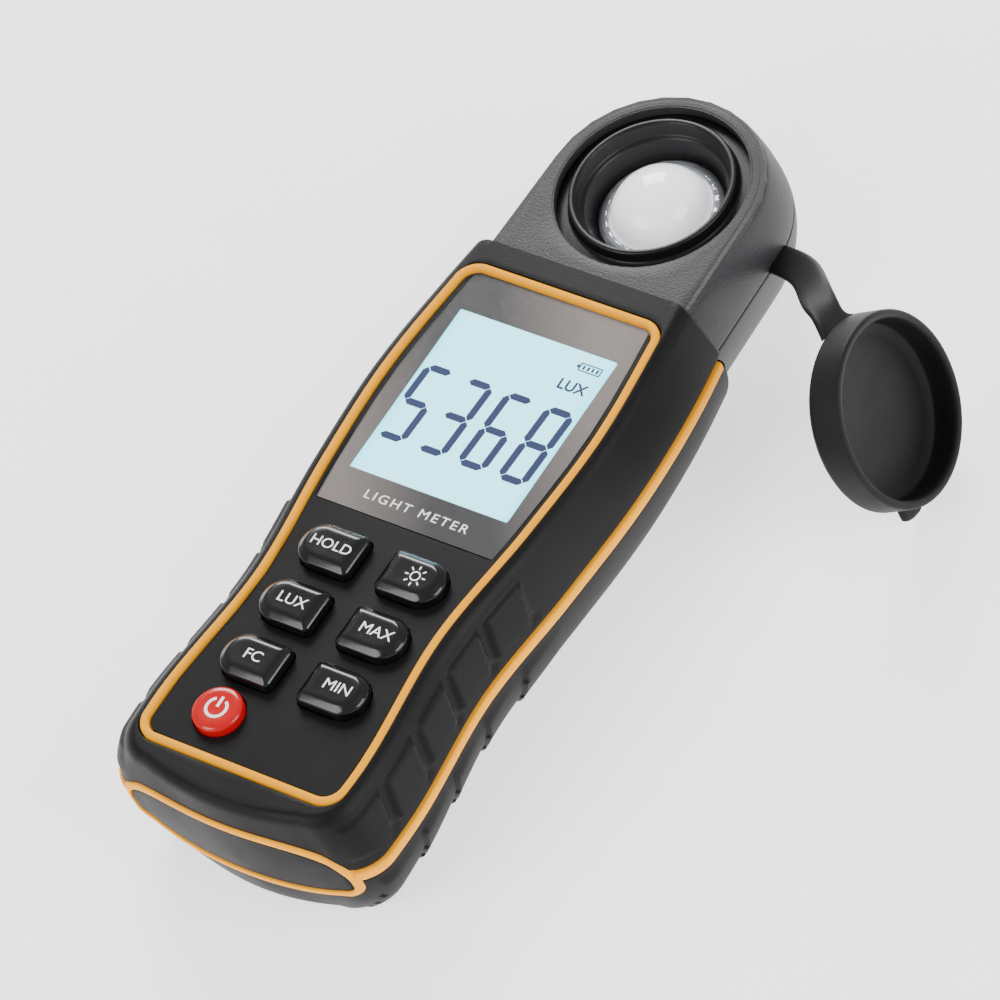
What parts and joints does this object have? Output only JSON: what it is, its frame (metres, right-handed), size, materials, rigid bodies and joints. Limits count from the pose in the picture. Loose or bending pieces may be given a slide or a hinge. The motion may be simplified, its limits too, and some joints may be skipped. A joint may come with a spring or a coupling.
{
  "type": "handheld light meter",
  "caption": "Handheld light meter with rubber grips, a lit display, push keys, a domed light sensor in its head and a strapped rubber sensor cap.",
  "frame": {"origin": "on the flat of the back, at mid-length and mid-width of the body", "axes": "+Z out of the display, +Y along the body towards the sensor head, +X towards the side that carries the cap"},
  "size_m": [0.1095, 0.1788, 0.0397],
  "materials": {
    "rubber": "soft black overmoulded rubber with a fine grain",
    "shell": "dark grey moulded plastic with a coarse spark grain",
    "orange": "orange moulded plastic, lightly satin",
    "panel": "matt black moulded plastic",
    "key": "glossy black moulded key",
    "power": "glossy red moulded key",
    "label": "mirror-like metallised film",
    "clear": "clear acrylic lens",
    "display": "lit display glass, pale blue",
    "dome": "white opal diffuser",
    "ring": "clear moulded ring, pale grey",
    "collar": "black moulded collar, satin",
    "filter": "green correction filter glass",
    "white": "white light guide",
    "cell": "printed film jacket over a steel can",
    "board": "green solder resist",
    "chip": "black moulded package",
    "steel": "nickel plated steel",
    "film": "amber flexible film",
    "cap": "soft black moulded rubber"
  },
  "bodies": {
    "meter": {"backlight_panel": "white", "battery_1": "cell", "battery_2": "cell", "battery_3": "cell", "battery_spring_1": "steel", "battery_spring_2": "steel", "battery_spring_3": "steel", "board_screw_1": "steel", "board_screw_2": "steel", "board_screw_3": "steel", "board_screw_4": "steel", "case_screw_1": "steel", "case_screw_2": "steel", "case_screw_3": "steel", "case_screw_4": "steel", "contact_plate_button": "steel", "contact_plate_spring": "steel", "controller_chip": "chip", "diffuser_dome": "dome", "display_bezel": "label", "display_lens": "clear", "dome_ring": "ring", "end_panel": "panel", "end_trim": "orange", "face_plate": "panel", "front_case": "shell", "front_grip": "rubber", "key_dome_sheet": "steel", "lcd_connector": "rubber", "lcd_glass": "display", "lcd_holder": "panel", "main_board": "board", "optical_filter": "filter", "panel_frame": "orange", "photodiode": "chip", "rear_case": "shell", "rear_grip": "rubber", "sensor_board": "board", "sensor_collar": "collar", "sensor_ribbon": "film", "sensor_screw_1": "steel", "sensor_screw_2": "steel", "side_band_left": "orange", "side_band_right": "orange", "strap_root": "cap"},
    "strap": {"strap_link": "cap"},
    "cap": {"sensor_cap": "cap"},
    "door": {"battery_door": "panel", "door_screw": "steel"},
    "hold_key": {"hold_key": "key"},
    "lux_key": {"lux_key": "key"},
    "fc_key": {"fc_key": "key"},
    "light_key": {"light_key": "key"},
    "max_key": {"max_key": "key"},
    "min_key": {"min_key": "key"},
    "power_key": {"power_key": "power"}
  },
  "joints": [
    {"name": "strap_root_hinge", "type": "hinge", "parent": "meter", "child": "strap", "pos_m": [0.02787, 0.06537, 0.01872], "axis": [-0.423, -0.9061, 0.007], "range_deg": [0, 59.2], "stiffness_Nm_per_rad": 0.05},
    {"name": "strap_cap_hinge", "type": "hinge", "parent": "strap", "child": "cap", "pos_m": [0.04539, 0.05296, 0.03331], "axis": [-0.2059, -0.9538, 0.2189], "range_deg": [0, 181.4], "stiffness_Nm_per_rad": 0.005},
    {"name": "door_hinge", "type": "hinge", "parent": "meter", "child": "door", "pos_m": [0, -0.01581, 0.0004], "axis": [1, 0, 0], "range_deg": [0, 70]},
    {"name": "hold_key_press", "type": "slide", "parent": "meter", "child": "hold_key", "axis": [0, 0, -1], "range_m": [0, 0.0008], "stiffness_N_per_m": 1500},
    {"name": "lux_key_press", "type": "slide", "parent": "meter", "child": "lux_key", "axis": [0, 0, -1], "range_m": [0, 0.0008], "stiffness_N_per_m": 1500},
    {"name": "fc_key_press", "type": "slide", "parent": "meter", "child": "fc_key", "axis": [0, 0, -1], "range_m": [0, 0.0008], "stiffness_N_per_m": 1500},
    {"name": "light_key_press", "type": "slide", "parent": "meter", "child": "light_key", "axis": [0, 0, -1], "range_m": [0, 0.0008], "stiffness_N_per_m": 1500},
    {"name": "max_key_press", "type": "slide", "parent": "meter", "child": "max_key", "axis": [0, 0, -1], "range_m": [0, 0.0008], "stiffness_N_per_m": 1500},
    {"name": "min_key_press", "type": "slide", "parent": "meter", "child": "min_key", "axis": [0, 0, -1], "range_m": [0, 0.0008], "stiffness_N_per_m": 1500},
    {"name": "power_key_press", "type": "slide", "parent": "meter", "child": "power_key", "axis": [0, 0, -1], "range_m": [0, 0.0008], "stiffness_N_per_m": 1500}
  ],
  "couplings": [
    {"joint": "strap_cap_hinge", "follows": "strap_root_hinge", "ratio": 3.0625}
  ]
}
